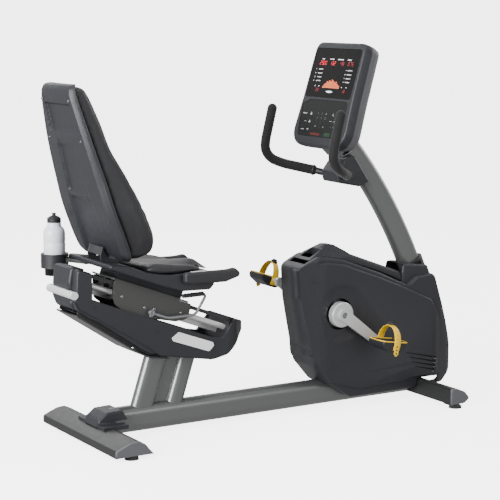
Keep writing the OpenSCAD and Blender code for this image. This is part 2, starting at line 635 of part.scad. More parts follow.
module carriage_bushes() color([0.7, 0.6, 0.4]) on_rail() for (s = [130, 324], y = [-rod_y, rod_y])
  translate([s, y, -40]) rotate([0, 90, 0]) difference() {
    cylinder(h = 52, r = rod_d / 2 + 6);
    translate([0, 0, -1]) cylinder(h = 60, r = rod_d / 2 + run_gap);
  }

base_outline = rounded([[44, 624, 8], [122, 612, 20], [180, 588, 30], [270, 573, 60], [400, 575, 20], [418, 575, 8],
  [424, 558, 8],
  [440, 528, 10], [421, 508, 14], [318, 511, 50], [240, 535, 20], [112, 583, 0], [50, 606, 10]]);
module seat_base() color(plastic) one_mesh() {
  difference() {
    sides() slab(base_outline, 0, 162, 6, 14);
    // hollow moulding, open underneath
    sides() slab(inset(base_outline, 4), -1, 157, 4, 10);
    plate([[200, 480], [400, 480], [400, 526], [316, 530], [250, 556], [200, 570]], -120, 120);
  }
  intersection() {
    sides() slab(inset(base_outline, 2), -1, 160, 4, 10);
    on_rail() for (s = [130, 330], y = [-50, 50]) translate([s, y - 12, 8]) cube([40, 24, 140]);
  }
  // channel that bolts down on the carriage
  on_rail() sides() translate([124, 58, 8]) cube([256, 8, 36]);
  on_rail() for (s = [124, 372]) translate([s, -62, 8]) cube([8, 124, 36]);
}

// The seat pad by X: half width, then the height of its edge, leg channel, middle and underside.
seat_rows = [[186, 160, 604, 602, 600, 588.5], [206, 168, 612, 606, 604, 585], [240, 169, 608, 599, 598, 579.5],
  [300, 167, 600, 589, 594, 575.5], [350, 162, 595, 585, 595, 576], [380, 155, 588, 583, 595, 576.5],
  [402, 144, 583, 582, 595, 577], [424, 126, 579, 581, 595, 575.6], [448, 98, 575, 578, 590, 566],
  [466, 66, 572, 574, 581, 565], [473, 40, 571, 572, 575, 568]];
function seat_half(r, s) = [[r[0], s * (r[1] - 6), r[5]], [r[0], s * r[1], r[5] * 0.6 + r[2] * 0.4],
  [r[0], s * (r[1] - 12), r[2]], [r[0], s * r[1] * 0.52, r[3]]];
function seat_ring(r) = let(a = seat_half(r, 1), b = seat_half(r, -1))
  [b[0], a[0], a[1], a[2], a[3], [r[0], 0, r[4]], b[3], b[2], b[1]];
module seat_cushion() color([0.2, 0.2, 0.21]) loft([for (r = seat_rows) seat_ring(r)]);

// The backrest by level: z, x and half width of the rear corner, of the seam, and the front x.
back_rows = [[1204, -42, 88, -36, 92, -14], [1196, -56, 112, -46, 118, 0], [1165, -61, 121, -46, 129, 12],
  [1075, -42, 142, -23, 150, 41], [990, -21, 158, 0, 166, 70], [890, 6, 169, 32, 177, 126],
  [800, 32, 178, 58, 186, 175], [720, 61, 179, 89, 187, 208], [670, 80, 174, 109, 182, 215],
  [644, 92, 168, 117, 176, 200], [627, 104, 146, 122, 152, 172]];
function shell_ring(r) = let(x = r[1], z = r[0])
  [[x, -r[2], z], [r[3], -r[4], z], [r[3], r[4], z], [x, r[2], z], [x - 6, r[2] * 0.6, z], [x - 6, -r[2] * 0.6, z]];
function pad_ring(r) = let(s = r[3] + 0.4, f = r[5], w = r[4], z = r[0])
  [[s, -w + 2, z], [s + (f - s) * 0.5, -w - 1, z], [f - 10, -w * 0.97, z], [f, -w * 0.84, z], [f - 10, -w * 0.45, z],
   [f - 16, 0, z], [f - 10, w * 0.45, z], [f, w * 0.84, z], [f - 10, w * 0.97, z], [s + (f - s) * 0.5, w + 1, z],
   [s, w - 2, z]];
// Hollow of the shell, one wall in from its outside and open at the seam.
function hollow_ring(r, z) = let(x = r[1] + wall + 1, w = r[2] - wall - 3)
  [[x, -w, z], [r[3] + 3, -w - 4, z], [r[3] + 3, w + 4, z], [x, w, z], [x - 4, w * 0.6, z], [x - 4, -w * 0.6, z]];
hollow_rows = [[1, 1191], [2, 1160], [3, 1075], [4, 990], [5, 890], [6, 800], [7, 720], [8, 670], [9, 650]];
module backrest_shell() color(plastic) one_mesh() difference() {
  loft([for (r = back_rows) shell_ring(r)]);
  loft([for (q = hollow_rows) hollow_ring(back_rows[q[0]], q[1])]);
}
module backrest_cushion() color([0.2, 0.2, 0.21]) loft([for (r = back_rows) pad_ring(r)]);
bracket_side = [[70, 598], [140, 590], [130, 640], [104, 694], [84, 694], [68, 640]];
module backrest_bracket() color(frame_grey) one_mesh() difference() {
  union() {
    sides() plate(bracket_side, 44, 50);
    plate([[69, 640], [76, 636], [90, 690], [84, 694]], -50, 50);
  }
  loft([for (r = back_rows) shell_ring(r)]);
  plate([[100, 624], [220, 624], [220, 720], [90, 720], [88, 660]], -60, 60);
  sides() slab(base_outline, 0, 162, 6, 14);
}

handle_outline = rounded([[311, 578, 8], [400, 577, 40], [468, 576, 30], [504, 580, 10], [528, 560, 12], [516, 549, 10],
  [468, 535, 40], [334, 538, 20], [311, 545, 8]]);
module seat_handles() color([0.14, 0.14, 0.15]) one_mesh() sides() {
  slab(handle_outline, 174, 190, 8, 8);
  slab(handle_outline, 174, 162.2, 8, 8);
}
sensor_outline = [[338, 577.75], [398, 577.08], [398, 579], [338, 579.7]];
module pulse_sensors() color(silver) sides() plate(sensor_outline, 170.5, 181.5);

cup_r = 47;
module bottle_holder() color([0.12, 0.12, 0.13]) one_mesh() difference() {
  union() {
    translate([bottle_pos[0], bottle_pos[1], bottle_pos[2] - 8]) cylinder(h = 30, r = 34);
    translate([bottle_pos[0], bottle_pos[1], bottle_pos[2] + 18]) cylinder(h = 48, r = cup_r);
    translate([0, 0, 596]) linear_extrude(12) polygon([[20, 150], [66, 50], [92, 50], [92, 78], [46, 190]]);
    translate([60, 50, 596]) cube([34, 30, 20]);
  }
  translate(bottle_pos) cylinder(h = 100, r = 31);
  translate([bottle_pos[0], bottle_pos[1], bottle_pos[2] + 22]) cylinder(h = 100, r = 39.5);
  sides() plate(bracket_side, 43.9, 50.1);
  sides() slab(base_outline, 0, 162.2, 6, 14);
  loft([for (r = back_rows) shell_ring(r)]);
}

module bottle() color([0.85, 0.9, 0.95, 0.5]) translate(bottle_pos) rotate_extrude() polygon(concat(
  [[0, 0.3], [28, 0.3], [30.5, 3], [30.5, 22], [36, 27], [bottle_r, 32], [bottle_r, 140], [34, 150], [24, 160], [23, 172],
   [0, 172]]));
module bottle_cap() color([0.1, 0.1, 0.1]) translate([bottle_pos[0], bottle_pos[1], bottle_pos[2] + 172.1]) {
  cylinder(h = 14, r = 24);
  translate([0, 0, 14]) cylinder(h = 8, r1 = 20, r2 = 10);
  translate([0, 0, 22]) cylinder(h = 10, r = 6);
}

lever_path = [[lever_pivot[0], -96, lever_pivot[1]], [292, -100, 415], [394, -104, 417], [432, -106, 478], [424, -108, 488],
              [345, -110, 487]];
module adjust_lever() color([0.4, 0.4, 0.42]) {
  rod_y(lever_pivot, 6, -102, -70);
  bar(lever_path, 5);
}
module brake_pad() color([0.1, 0.1, 0.1]) on_rail() translate([206, 4.4, -64]) cube([44, 12, 22]);

module transport_wheel(s) color([0.1, 0.1, 0.1])
  ring(wheel_at, wheel_r, 6 + run_gap, s * wheel_y - 10, s * wheel_y + 10);
module wheel_right() transport_wheel(-1);
module wheel_left() transport_wheel(1);

at_origin() main_tube();
at_origin() rear_stabilizer();
at_origin() front_stabilizer();
at_origin() stabilizer_caps();
at_origin() levelling_feet();
at_origin() rear_foot_cover();
at_origin() seat_posts();
at_origin() rail_frame();
at_origin() guide_rods();
at_origin() lock_bar();
at_origin() transport_handle();
at_origin() rail_cover_right();
at_origin() rail_cover_left();
at_origin() rail_end_cap();
at_origin() label_plate();
at_origin() cover_screws();
at_origin() drive_frame();
at_origin() crank_bearings();
at_origin() flywheel_bearings();
at_origin() generator();
at_origin() drive_belt();
at_origin() housing_right();
at_origin() housing_left();
at_origin() housing_top_cover();
at_origin() mast();
at_origin() mast_collar();
at_origin() bar_clamp();
at_origin() handlebar();
at_origin() bar_grips();
at_origin() console_back();
at_origin() console_front();
at_origin() display_lens();
at_origin() keypad();
at_origin() crank_axle();
at_origin() drive_pulley();
at_origin() crank_arm_right();
at_origin() crank_arm_left();
at_origin() crank_bolts();
at_origin() pedal_axles();
at_origin() pedal_right();
at_origin() pedal_strap_right();
at_origin() pedal_left();
at_origin() pedal_strap_left();
at_origin() flywheel();
at_origin() carriage();
at_origin() carriage_bushes();
at_origin() seat_base();
at_origin() seat_cushion();
at_origin() backrest_bracket();
at_origin() backrest_shell();
at_origin() backrest_cushion();
at_origin() seat_handles();
at_origin() pulse_sensors();
at_origin() bottle_holder();
at_origin() adjust_lever();
at_origin() brake_pad();
at_origin() bottle();
at_origin() bottle_cap();
at_origin() wheel_right();
at_origin() wheel_left();
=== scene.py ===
import bpy, bmesh, json
from math import radians, sin, cos, pi
from mathutils import Vector, Matrix


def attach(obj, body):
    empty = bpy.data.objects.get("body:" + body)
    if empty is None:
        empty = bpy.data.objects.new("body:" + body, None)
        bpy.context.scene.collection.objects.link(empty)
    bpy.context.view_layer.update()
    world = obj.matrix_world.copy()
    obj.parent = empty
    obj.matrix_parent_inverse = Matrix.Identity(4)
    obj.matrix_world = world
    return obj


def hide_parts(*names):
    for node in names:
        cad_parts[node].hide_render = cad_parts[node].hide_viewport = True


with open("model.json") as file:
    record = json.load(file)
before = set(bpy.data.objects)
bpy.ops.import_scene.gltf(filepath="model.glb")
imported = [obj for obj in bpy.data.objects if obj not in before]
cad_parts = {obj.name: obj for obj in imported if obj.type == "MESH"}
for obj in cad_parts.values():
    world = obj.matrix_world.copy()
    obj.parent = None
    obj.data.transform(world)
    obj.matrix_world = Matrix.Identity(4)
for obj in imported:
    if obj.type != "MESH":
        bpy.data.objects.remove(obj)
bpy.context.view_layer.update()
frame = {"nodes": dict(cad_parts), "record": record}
MID = 0.73121          # the row's origin, in metres in front of the rear foot's edge
CARRIAGE_Y = 80        # outer face of the carriage plates, in mm from the middle
STRAP_X = 2            # middle of the pedal straps along the pedal, in mm
STRAP_RISE = 58        # height of the straps' arch over its centre, in mm
PEDAL_HALF = 47        # half width of a pedal, in mm
PALE = 4.0             # emission of the floor and the backdrop


def at(x, y, z):
    """A point from millimetres measured from the rear foot's edge, in the row frame."""
    return Vector((x / 1000 - MID, y / 1000, z / 1000))


# --- camera, lights and world ----------------------------------------------------------

cam_data = bpy.data.cameras.new("camera")
cam_data.sensor_width = 36
cam_data.lens = 1655 / 500 * 36
cam_data.clip_end = 300
cam = bpy.data.objects.new("camera", cam_data)
cam.location = at(-2308, -4900, 1467)
cam.rotation_euler = (radians(90 - 8.563), 0, radians(-31.318))
bpy.context.scene.collection.objects.link(cam)
bpy.context.scene.camera = cam


def area_light(name, place, aim, size, power, tint=(1, 1, 1)):
    data = bpy.data.lights.new(name, "AREA")
    data.shape = "RECTANGLE"
    data.size, data.size_y = size
    data.energy = power
    data.color = tint
    o = bpy.data.objects.new(name, data)
    o.location = place
    o.rotation_euler = (Vector(aim) - Vector(place)).to_track_quat("-Z", "Y").to_euler()
    bpy.context.scene.collection.objects.link(o)


area_light("top_softbox", (-0.2, -0.6, 4.2), (0, 0, 0.4), (4.5, 3.2), 62)
area_light("left_softbox", (-4.2, -1.2, 1.9), (0, 0, 0.6), (2.2, 2.6), 400, (0.97, 0.98, 1))
area_light("front_softbox", (1.2, -4.4, 1.6), (0, 0, 0.5), (2.6, 1.8), 34)
area_light("right_softbox", (4.0, 0.4, 2.0), (0, 0, 0.7), (1.6, 2.4), 45)
area_light("rear_softbox", (0.4, 4.0, 2.6), (0, 0, 0.6), (3.2, 1.8), 40)
world = bpy.data.worlds.new("studio")
bpy.context.scene.world = world
world.use_nodes = True
world.node_tree.nodes["Background"].inputs[0].default_value = (1, 1, 1, 1)
world.node_tree.nodes["Background"].inputs[1].default_value = 0.6

# --- materials ----------------------------------------------------------------------------


class Mat:
    """Principled material with colour mottling, roughness variation and layered bump."""

    def __init__(self, name, color, rough=0.5, metal=0.0, mottle=0.06, mottle_scale=9, rough_var=0.06,
                 spec=0.5, coat=0.0, coat_rough=0.1, edge=0.0012, sheen=0.0):
        self.m = bpy.data.materials.new(name)
        self.m.use_nodes = True
        self.m.diffuse_color = (*color, 1)
        self.nt = self.m.node_tree
        self.b = self.nt.nodes["Principled BSDF"]
        self.b.inputs["Metallic"].default_value = metal
        self.b.inputs["Specular IOR Level"].default_value = spec
        self.b.inputs["Coat Weight"].default_value = coat
        self.b.inputs["Coat Roughness"].default_value = coat_rough
        if sheen:
            self.b.inputs["Sheen Weight"].default_value = sheen
            self.b.inputs["Sheen Roughness"].default_value = 0.5
        self.co = self.node("ShaderNodeTexCoord").outputs["Object"]
        n = self.noise(mottle_scale, 5, 0.6)
        lo = tuple(c * (1 - mottle) for c in color)
        hi = tuple(min(1, c * (1 + mottle)) for c in color)
        self.color = self.mix(n, lo, hi)
        r = self.noise(mottle_scale * 4.3, 4, 0.55)
        self.rough = self.span(r, rough - rough_var, rough + rough_var)
        self.normal = None
        if edge:
            bev = self.node("ShaderNodeBevel")
            bev.samples = 4
            bev.inputs["Radius"].default_value = edge
            self.normal = bev.outputs["Normal"]

    def node(self, kind, **props):
        n = self.nt.nodes.new(kind)
        for k, v in props.items():
            setattr(n, k, v)
        return n

    def put(self, sock, value):
        if isinstance(value, bpy.types.NodeSocket):
            self.nt.links.new(value, sock)
        elif isinstance(value, tuple) and len(value) == 3 and sock.type == "RGBA":
            sock.default_value = (*value, 1)
        else:
            sock.default_value = value

    def mapped(self, scale):
        n = self.node("ShaderNodeMapping")
        self.put(n.inputs["Vector"], self.co)
        n.inputs["Scale"].default_value = scale
        return n.outputs[0]

    def noise(self, scale, detail=3, rough=0.5, stretch=None):
        n = self.node("ShaderNodeTexNoise")
        self.put(n.inputs["Vector"], self.mapped(stretch) if stretch else self.co)
        n.inputs["Scale"].default_value = scale
        n.inputs["Detail"].default_value = detail
        n.inputs["Roughness"].default_value = rough
        return n.outputs["Fac"]

    def cells(self, scale, feature="F1"):
        n = self.node("ShaderNodeTexVoronoi", feature=feature)
        self.put(n.inputs["Vector"], self.co)
        n.inputs["Scale"].default_value = scale
        return n.outputs["Distance"]

    def mix(self, fac, a, b):
        n = self.node("ShaderNodeMix", data_type="RGBA")
        self.put(n.inputs[0], fac)
        self.put(n.inputs[6], a)
        self.put(n.inputs[7], b)
        return n.outputs[2]

    def span(self, x, lo, hi, a=0.25, b=0.75):
        n = self.node("ShaderNodeMapRange")
        self.put(n.inputs[0], x)
        n.inputs[1].default_value, n.inputs[2].default_value = a, b
        n.inputs[3].default_value, n.inputs[4].default_value = lo, hi
        return n.outputs[0]

    def math(self, op, a, b):
        n = self.node("ShaderNodeMath", operation=op)
        self.put(n.inputs[0], a)
        self.put(n.inputs[1], b)
        return n.outputs[0]

    def bump(self, height, depth, strength=1.0):
        n = self.node("ShaderNodeBump")
        n.inputs["Strength"].default_value = strength
        n.inputs["Distance"].default_value = depth
        self.put(n.inputs["Height"], height)
        if self.normal is not None:
            self.put(n.inputs["Normal"], self.normal)
        self.normal = n.outputs[0]
        return self

    def worn(self, color, amount=0.5):
        """Lighter, rubbed colour along sharp edges, where the rounded normal turns away."""
        bev = self.node("ShaderNodeBevel")
        bev.samples = 4
        bev.inputs["Radius"].default_value = 0.0018
        turn = self.node("ShaderNodeVectorMath", operation="DOT_PRODUCT")
        self.put(turn.inputs[0], bev.outputs["Normal"])
        self.put(turn.inputs[1], self.node("ShaderNodeNewGeometry").outputs["Normal"])
        edges = self.span(turn.outputs["Value"], amount, 0, 0.75, 0.985)
        f = self.math("MULTIPLY", edges, self.noise(60, 4, 0.7))
        self.color = self.mix(f, self.color, color)
        return self

    def dust(self, color, amount=0.12):
        """Faint dust on faces that look up."""
        n = self.node("ShaderNodeSeparateXYZ")
        self.put(n.inputs[0], self.node("ShaderNodeNewGeometry").outputs["Normal"])
        upward = self.span(n.outputs[2], 0, amount, 0.4, 1.0)
        f = self.math("MULTIPLY", upward, self.noise(24, 6, 0.7))
        self.color = self.mix(f, self.color, color)
        return self

    def done(self):
        self.put(self.b.inputs["Base Color"], self.color)
        self.put(self.b.inputs["Roughness"], self.rough)
        if self.normal is not None:
            self.put(self.b.inputs["Normal"], self.normal)
        return self.m


def painted(name, color, metal=0.35, rough=0.36):
    m = Mat(name, color, rough, metal, mottle=0.03, rough_var=0.03, coat=0.15, coat_rough=0.25)
    m.bump(m.noise(420, 2, 0.5), 0.00014, 0.4).bump(m.noise(70, 2, 0.5), 0.0001, 0.12)
    return m.worn((0.4, 0.4, 0.4), 0.3).dust((0.2, 0.2, 0.2), 0.03).done()


def moulded(name, color, rough=0.46, grain=0.00022, spec=0.5, edge=0.0014):
    m = Mat(name, color, rough, 0.0, mottle=0.07, rough_var=0.05, spec=spec, edge=edge)
    m.bump(m.cells(1150), grain, 0.55).bump(m.noise(320, 3, 0.6), grain, 0.35)
    return m.worn(tuple(min(1, c * 2.4 + 0.012) for c in color), 0.4).dust((0.12, 0.12, 0.12), 0.05).done()


def plated(name, color, rough=0.16, brushed=None):
    m = Mat(name, color, rough, 1.0, mottle=0.05, rough_var=0.05, edge=0.0006)
    if brushed:
        streaks = m.noise(60, 4, 0.6, brushed)
        m.rough = m.span(streaks, rough - 0.07, rough + 0.12)
        m.bump(streaks, 0.00006, 0.4)
    m.bump(m.noise(900, 2, 0.5), 0.00004, 0.3)
    return m.done()


def foam(name, color, rough=0.8):
    m = Mat(name, color, rough, 0.0, mottle=0.12, rough_var=0.06, edge=0.0, spec=0.3, sheen=0.15)
    m.bump(m.noise(700, 3, 0.7), 0.0005, 0.6).bump(m.cells(1300), 0.0003, 0.4)
    return m.done()


def vinyl(name, color, rough=0.42):
    m = Mat(name, color, rough, 0.0, mottle=0.08, rough_var=0.07, edge=0.0, spec=0.5)
    creases = m.cells(330, "DISTANCE_TO_EDGE")
    m.bump(m.span(creases, 0, 1, 0.0, 0.12), 0.00028, 0.5)
    m.bump(m.noise(900, 3, 0.6), 0.00016, 0.4).bump(m.noise(26, 3, 0.5), 0.0011, 0.22)
    return m.done()


def glow(name, color, power):
    m = Mat(name, color, 0.3, edge=0, mottle=0.12, mottle_scale=180)
    m.b.inputs["Emission Color"].default_value = (*color, 1)
    m.b.inputs["Emission Strength"].default_value = power
    m.bump(m.noise(800), 0.00005, 0.2)
    return m.done()


def clear_liquid(name, color):
    m = Mat(name, color, 0.05, edge=0, mottle=0.03)
    m.b.inputs["Transmission Weight"].default_value = 0.92
    m.b.inputs["IOR"].default_value = 1.33
    m.bump(m.noise(60, 2), 0.0006, 0.25)
    return m.done()


MATS = {
    "frame_paint": painted("graphite_paint", (0.17, 0.174, 0.172), 0.7, 0.32),
    "rail_metal": painted("light_grey_paint", (0.5, 0.51, 0.51), 0.2, 0.4),
    "dark_plastic": moulded("charcoal_plastic", (0.0165, 0.0168, 0.021)),
    "grey_plastic": moulded("mid_grey_plastic", (0.11, 0.11, 0.12), 0.5),
    "black_plastic": moulded("black_plastic", (0.014, 0.014, 0.016), 0.5),
    # bright_steel is painted near white: partly the steel's own light tone, partly a painted reflection of the
    # white studio around it.
    "bright_steel": painted("bright_steel", (0.86, 0.86, 0.87), 0.45, 0.24),
    "bolt_steel": plated("dark_bolt_steel", (0.3, 0.3, 0.31), 0.32),
    "crank_silver": painted("silver_crank_paint", (0.62, 0.63, 0.63), 0.45, 0.34),
    "rubber": foam("black_rubber", (0.016, 0.016, 0.016), 0.72),
    "foam_rubber": foam("grip_foam", (0.009, 0.009, 0.0095), 0.78),
    "handle_rubber": moulded("handle_rubber", (0.02, 0.02, 0.022), 0.55, 0.0003),
    "bar_paint": painted("black_bar_paint", (0.02, 0.02, 0.022), 0.1, 0.4),
    "label_white": moulded("white_plate", (0.94, 0.94, 0.94), 0.35, 0.00008),
    "copper_windings": plated("winding_copper", (0.45, 0.2, 0.09), 0.35, (1, 40, 1)),
    "display_black": moulded("display_window", (0.004, 0.0035, 0.0035), 0.2, 0.00002, 0.3),
    "membrane": moulded("keypad_membrane", (0.006, 0.0068, 0.0065), 0.36, 0.0001, 0.3),
    "strap_yellow": moulded("yellow_strap", (0.95, 0.58, 0.004), 0.38, 0.00015),
    "flywheel_iron": plated("turned_iron", (0.16, 0.16, 0.165), 0.38, (1, 60, 1)),
    "carriage_paint": painted("grey_green_paint", (0.06, 0.062, 0.058), 0.3, 0.42),
    "bronze": plated("bearing_bronze", (0.17, 0.155, 0.13), 0.42),
    "upholstery": vinyl("black_vinyl", (0.0155, 0.0155, 0.0185)),
    "lever_steel": painted("grey_lever_paint", (0.2, 0.2, 0.21), 0.4, 0.36),
    "bottle_plastic": moulded("bottle_plastic", (0.8, 0.86, 0.9), 0.25, 0.0001),
}
GLOW = {
    "red": glow("red_digits", (0.85, 0.04, 0.06), 0.9),
    "dim": glow("dim_red_digits", (0.4, 0.03, 0.04), 0.35),
    "orange": glow("orange_bars", (0.95, 0.2, 0.07), 0.9),
    "cool": glow("cool_light", (0.75, 0.95, 1.0), 1.0),
}
KEYS = {
    "red": moulded("stop_key", (0.085, 0.006, 0.006), 0.4),
    "green": moulded("start_key", (0.006, 0.035, 0.012), 0.4),
    "pad": moulded("key_pads", (0.011, 0.012, 0.012), 0.42, 0.0001, 0.3),
}
WATER = clear_liquid("bottle_water", (0.8, 0.9, 0.97))
NODE_SLOT = {s["node"]: s["material_slot"] for s in frame["record"]["subparts"]}
NODE_BODY = {n: b for b, ns in frame["record"]["behaviour"]["bodies"].items() for n in ns}


def shade(mesh, angle=38):
    mesh.polygons.foreach_set("use_smooth", [True] * len(mesh.polygons))
    mesh.set_sharp_from_angle(angle=radians(angle))


def dress(o, mat, angle=38):
    o.data.materials.clear()
    o.data.materials.append(mat)
    shade(o.data, angle)


def refined(node, angle=38):
    """The CAD node's own shape, with welded seams and clean shading, as a Blender piece."""
    src = frame["nodes"][node]
    bm = bmesh.new()
    bm.from_mesh(src.data)
    bmesh.ops.remove_doubles(bm, verts=bm.verts, dist=2e-5)
    bmesh.ops.dissolve_limit(bm, angle_limit=radians(0.5), verts=bm.verts, edges=bm.edges)
    me = bpy.data.meshes.new(node + "_skin")
    bm.to_mesh(me)
    bm.free()
    o = bpy.data.objects.new(node + "_skin", me)
    bpy.context.scene.collection.objects.link(o)
    dress(o, MATS[NODE_SLOT[node]], angle)
    w = o.modifiers.new("even_normals", "WEIGHTED_NORMAL")
    w.keep_sharp = True
    w.weight = 70
    return own(o, node)


def own(o, *nodes, body=None, slot=None):
    """The piece stands for these nodes and rides on their body."""
    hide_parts(*nodes)
    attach(o, body or NODE_BODY[nodes[0]])
    return o


# Four painted parts are darker in the photograph than the rest of their slot.
STABILIZER_PAINT = painted("dark_graphite_paint", (0.022, 0.023, 0.023), 0.4, 0.42)
DARKER = {"rear_stabilizer": STABILIZER_PAINT, "front_stabilizer": STABILIZER_PAINT,
          "rail_frame": MATS["bar_paint"], "backrest_bracket": MATS["bar_paint"]}
for node, o in frame["nodes"].items():
    dress(o, DARKER.get(node, MATS[NODE_SLOT[node]]))

# CAD shapes kept as they are, with clean seams and normals.
SKINNED = ["rear_foot_cover", "stabilizer_caps", "rail_cover_right", "rail_cover_left", "rail_end_cap",
           "housing_right", "housing_left", "housing_top_cover", "mast_collar", "bar_clamp", "console_front",
           "console_back", "pedal_right", "pedal_left", "seat_base", "seat_handles", "bottle_holder"]
for node in SKINNED:
    refined(node, 50)

# --- mesh helpers ------------------------------------------------------------------------


def make(name, verts, faces, mat, angle=40, weld=3e-5):
    """A mesh piece from corner points in metres, with closed seams and outward faces."""
    me = bpy.data.meshes.new(name)
    me.from_pydata([tuple(v) for v in verts], [], faces)
    bm = bmesh.new()
    bm.from_mesh(me)
    bmesh.ops.remove_doubles(bm, verts=bm.verts, dist=weld)
    bmesh.ops.dissolve_degenerate(bm, edges=bm.edges, dist=1e-6)
    bmesh.ops.recalc_face_normals(bm, faces=bm.faces)
    bm.to_mesh(me)
    bm.free()
    o = bpy.data.objects.new(name, me)
    bpy.context.scene.collection.objects.link(o)
    dress(o, mat, angle)
    return o


def loft(rings, caps=True):
    """Points and quads through rings of equal length; the end rings close on their centres."""
    n = len(rings[0])
    verts = [p for r in rings for p in r]
    faces = []
    for i in range(len(rings) - 1):
        for j in range(n):
            k = (j + 1) % n
            faces.append((i * n + j, i * n + k, (i + 1) * n + k, (i + 1) * n + j))
    if caps:
        for i in (0, len(rings) - 1):
            c = sum((Vector(p) for p in rings[i]), Vector()) / n
            verts.append(c)
            faces += [(i * n + j, i * n + (j + 1) % n, len(verts) - 1) for j in range(n)]
    return verts, faces


def through(rows, steps, closed=False):
    """Catmull-Rom curve through equal-length tuples."""
    out, n = [], len(rows)
    for i in range(n if closed else n - 1):
        a, b, c, d = [rows[(i + k) % n] if closed else rows[max(0, min(n - 1, i + k))] for k in (-1, 0, 1, 2)]
        for s in range(steps):
            t = s / steps
            out.append([0.5 * (2 * q + (r - p) * t + (2 * p - 5 * q + 4 * r - w) * t * t
                               + (3 * q - p - 3 * r + w) * t ** 3) for p, q, r, w in zip(a, b, c, d)])
    return out if closed else out + [list(rows[-1])]


def eased(points, radius, steps=8):
    """The path with each corner rounded off."""
    pts = [Vector(p) for p in points]
    out = [pts[0]]
    for a, b, c in zip(pts, pts[1:], pts[2:]):
        d = min(radius, (a - b).length * 0.49, (c - b).length * 0.49)
        p, q = b + (a - b).normalized() * d, b + (c - b).normalized() * d
        out += [p.lerp(b, t / steps).lerp(b.lerp(q, t / steps), t / steps) for t in range(steps + 1)]
    return out + [pts[-1]]


def tube(path, radius, sides=28, ends=None):
    """Rings round a path; ends is a list of (shift along the axis, radius) that closes each end."""
    rings, side = [], None
    pts = [Vector(p) for p in path]
    for i, p in enumerate(pts):
        d = (pts[min(i + 1, len(pts) - 1)] - pts[max(i - 1, 0)]).normalized()
        side = (side or d.orthogonal()) - d * (side or d.orthogonal()).dot(d)
        side.normalize()
        up = d.cross(side)
        r = radius(i / (len(pts) - 1)) if callable(radius) else radius
        rings.append((p, d, side.copy(), up, r))
    cap = ends if ends is not None else [(0, 1)]

    def ring(f, shift, k):
        p, d, s, u, r = f
        turns = [2 * pi * j / sides for j in range(sides)]
        return [p + d * shift + (s * cos(a) + u * sin(a)) * r * k for a in turns]

    out = [ring(rings[0], -s, k) for s, k in reversed(cap)]
    out += [ring(f, 0, 1) for f in rings[1:-1]]
    return out + [ring(rings[-1], s, k) for s, k in cap]


def round_end(r):
    """Ends for tube() that close it with a dome of radius r."""
    return [(r * sin(a), max(cos(a), 0.03)) for a in [pi / 2 * k / 7 for k in range(8)]]


def lathe(name, profile, place, mat, steps=56, aim=(0, 0, 1), angle=35):
    """Profile of (radius, height) in mm turned about an axis through place."""
    turn = Vector((0, 0, 1)).rotation_difference(Vector(aim))
    angles = [2 * pi * j / steps for j in range(steps)]
    rings = []
    for r, h in profile:
        r = max(r, 0.02) / 1000
        rings.append([place + turn @ Vector((r * cos(a), r * sin(a), h / 1000)) for a in angles])
    return make(name, *loft(rings), mat, angle)


def step_in(v, edge, soft):
    """1 inside edge, 0 outside, with a smooth wall of width soft."""
    t = max(0.0, min(1.0, (edge - v) / soft + 0.5))
    return t * t * (3 - 2 * t)


# --- soft pieces ------------------------------------------------------------------------------


def puff(o, cap, voxel=0.006, pressure=4.0):
    """Inflates the pad as cloth, held within cap of its start, then smooths and subdivides it."""
    bpy.context.view_layer.objects.active = o
    r = o.modifiers.new("remesh", "REMESH")
    r.mode, r.voxel_size = "VOXEL", voxel
    bpy.ops.object.modifier_apply(modifier=r.name)
    start = [v.co.copy() for v in o.data.vertices]
    c = o.modifiers.new("cloth", "CLOTH")
    c.settings.use_pressure = True
    c.settings.uniform_pressure_force = pressure
    c.settings.effector_weights.gravity = 0
    c.settings.tension_stiffness = c.settings.compression_stiffness = 12
    scene = bpy.context.scene
    for f in range(1, 21):
        scene.frame_set(f)
    me = bpy.data.meshes.new_from_object(o.evaluated_get(bpy.context.evaluated_depsgraph_get()))
    moved = [v.co.copy() for v in me.vertices]
    o.modifiers.remove(c)
    scene.frame_set(1)
    for v, a, b in zip(o.data.vertices, start, moved):
        d = b - a
        v.co = a + d.normalized() * min(d.length, cap) if d.length > 1e-9 else a
    bpy.data.meshes.remove(me)
    s = o.modifiers.new("smooth", "SMOOTH")
    s.factor, s.iterations = 0.5, 6
    bpy.ops.object.modifier_apply(modifier=s.name)
    s = o.modifiers.new("subdivision", "SUBSURF")
    s.levels = s.render_levels = 1
    bpy.ops.object.modifier_apply(modifier=s.name)
    shade(o.data, 60)
    return o


# Backrest by level: height, rear corner x, rear half width, seam x, half width, front x.
BACK = [(1204, -42, 88, -36, 92, -14), (1196, -56, 112, -46, 118, 0), (1165, -61, 121, -46, 129, 12),
        (1075, -42, 142, -23, 150, 41), (990, -21, 158, 0, 166, 70), (890, 6, 169, 32, 177, 126),
        (800, 32, 178, 58, 186, 175), (720, 61, 179, 89, 187, 208), (670, 80, 174, 109, 182, 215),
        (644, 92, 168, 117, 176, 200), (627, 104, 146, 122, 152, 172)]


def shell_depth(y, z):
    """How far the moulded features of the shell's back are set in, in mm."""
    a = abs(y)
    top = step_in(a, 95, 5) * step_in(z, 1138, 4) * (1 - step_in(z, 1046, 20))
    w = 60 + (990 - z) * 0.105
    low = step_in(a, w, 9) * step_in(z, 1004, 16) * (1 - step_in(z, 632, 8))
    rib = step_in(abs(z - 838), 10, 9) * step_in(a, w + 6, 8)
    lip = step_in(a, 46, 6) * step_in(abs(z - 1012), 10, 7)
    return 12 * top + 10 * low - 8 * rib * low + 3 * lip


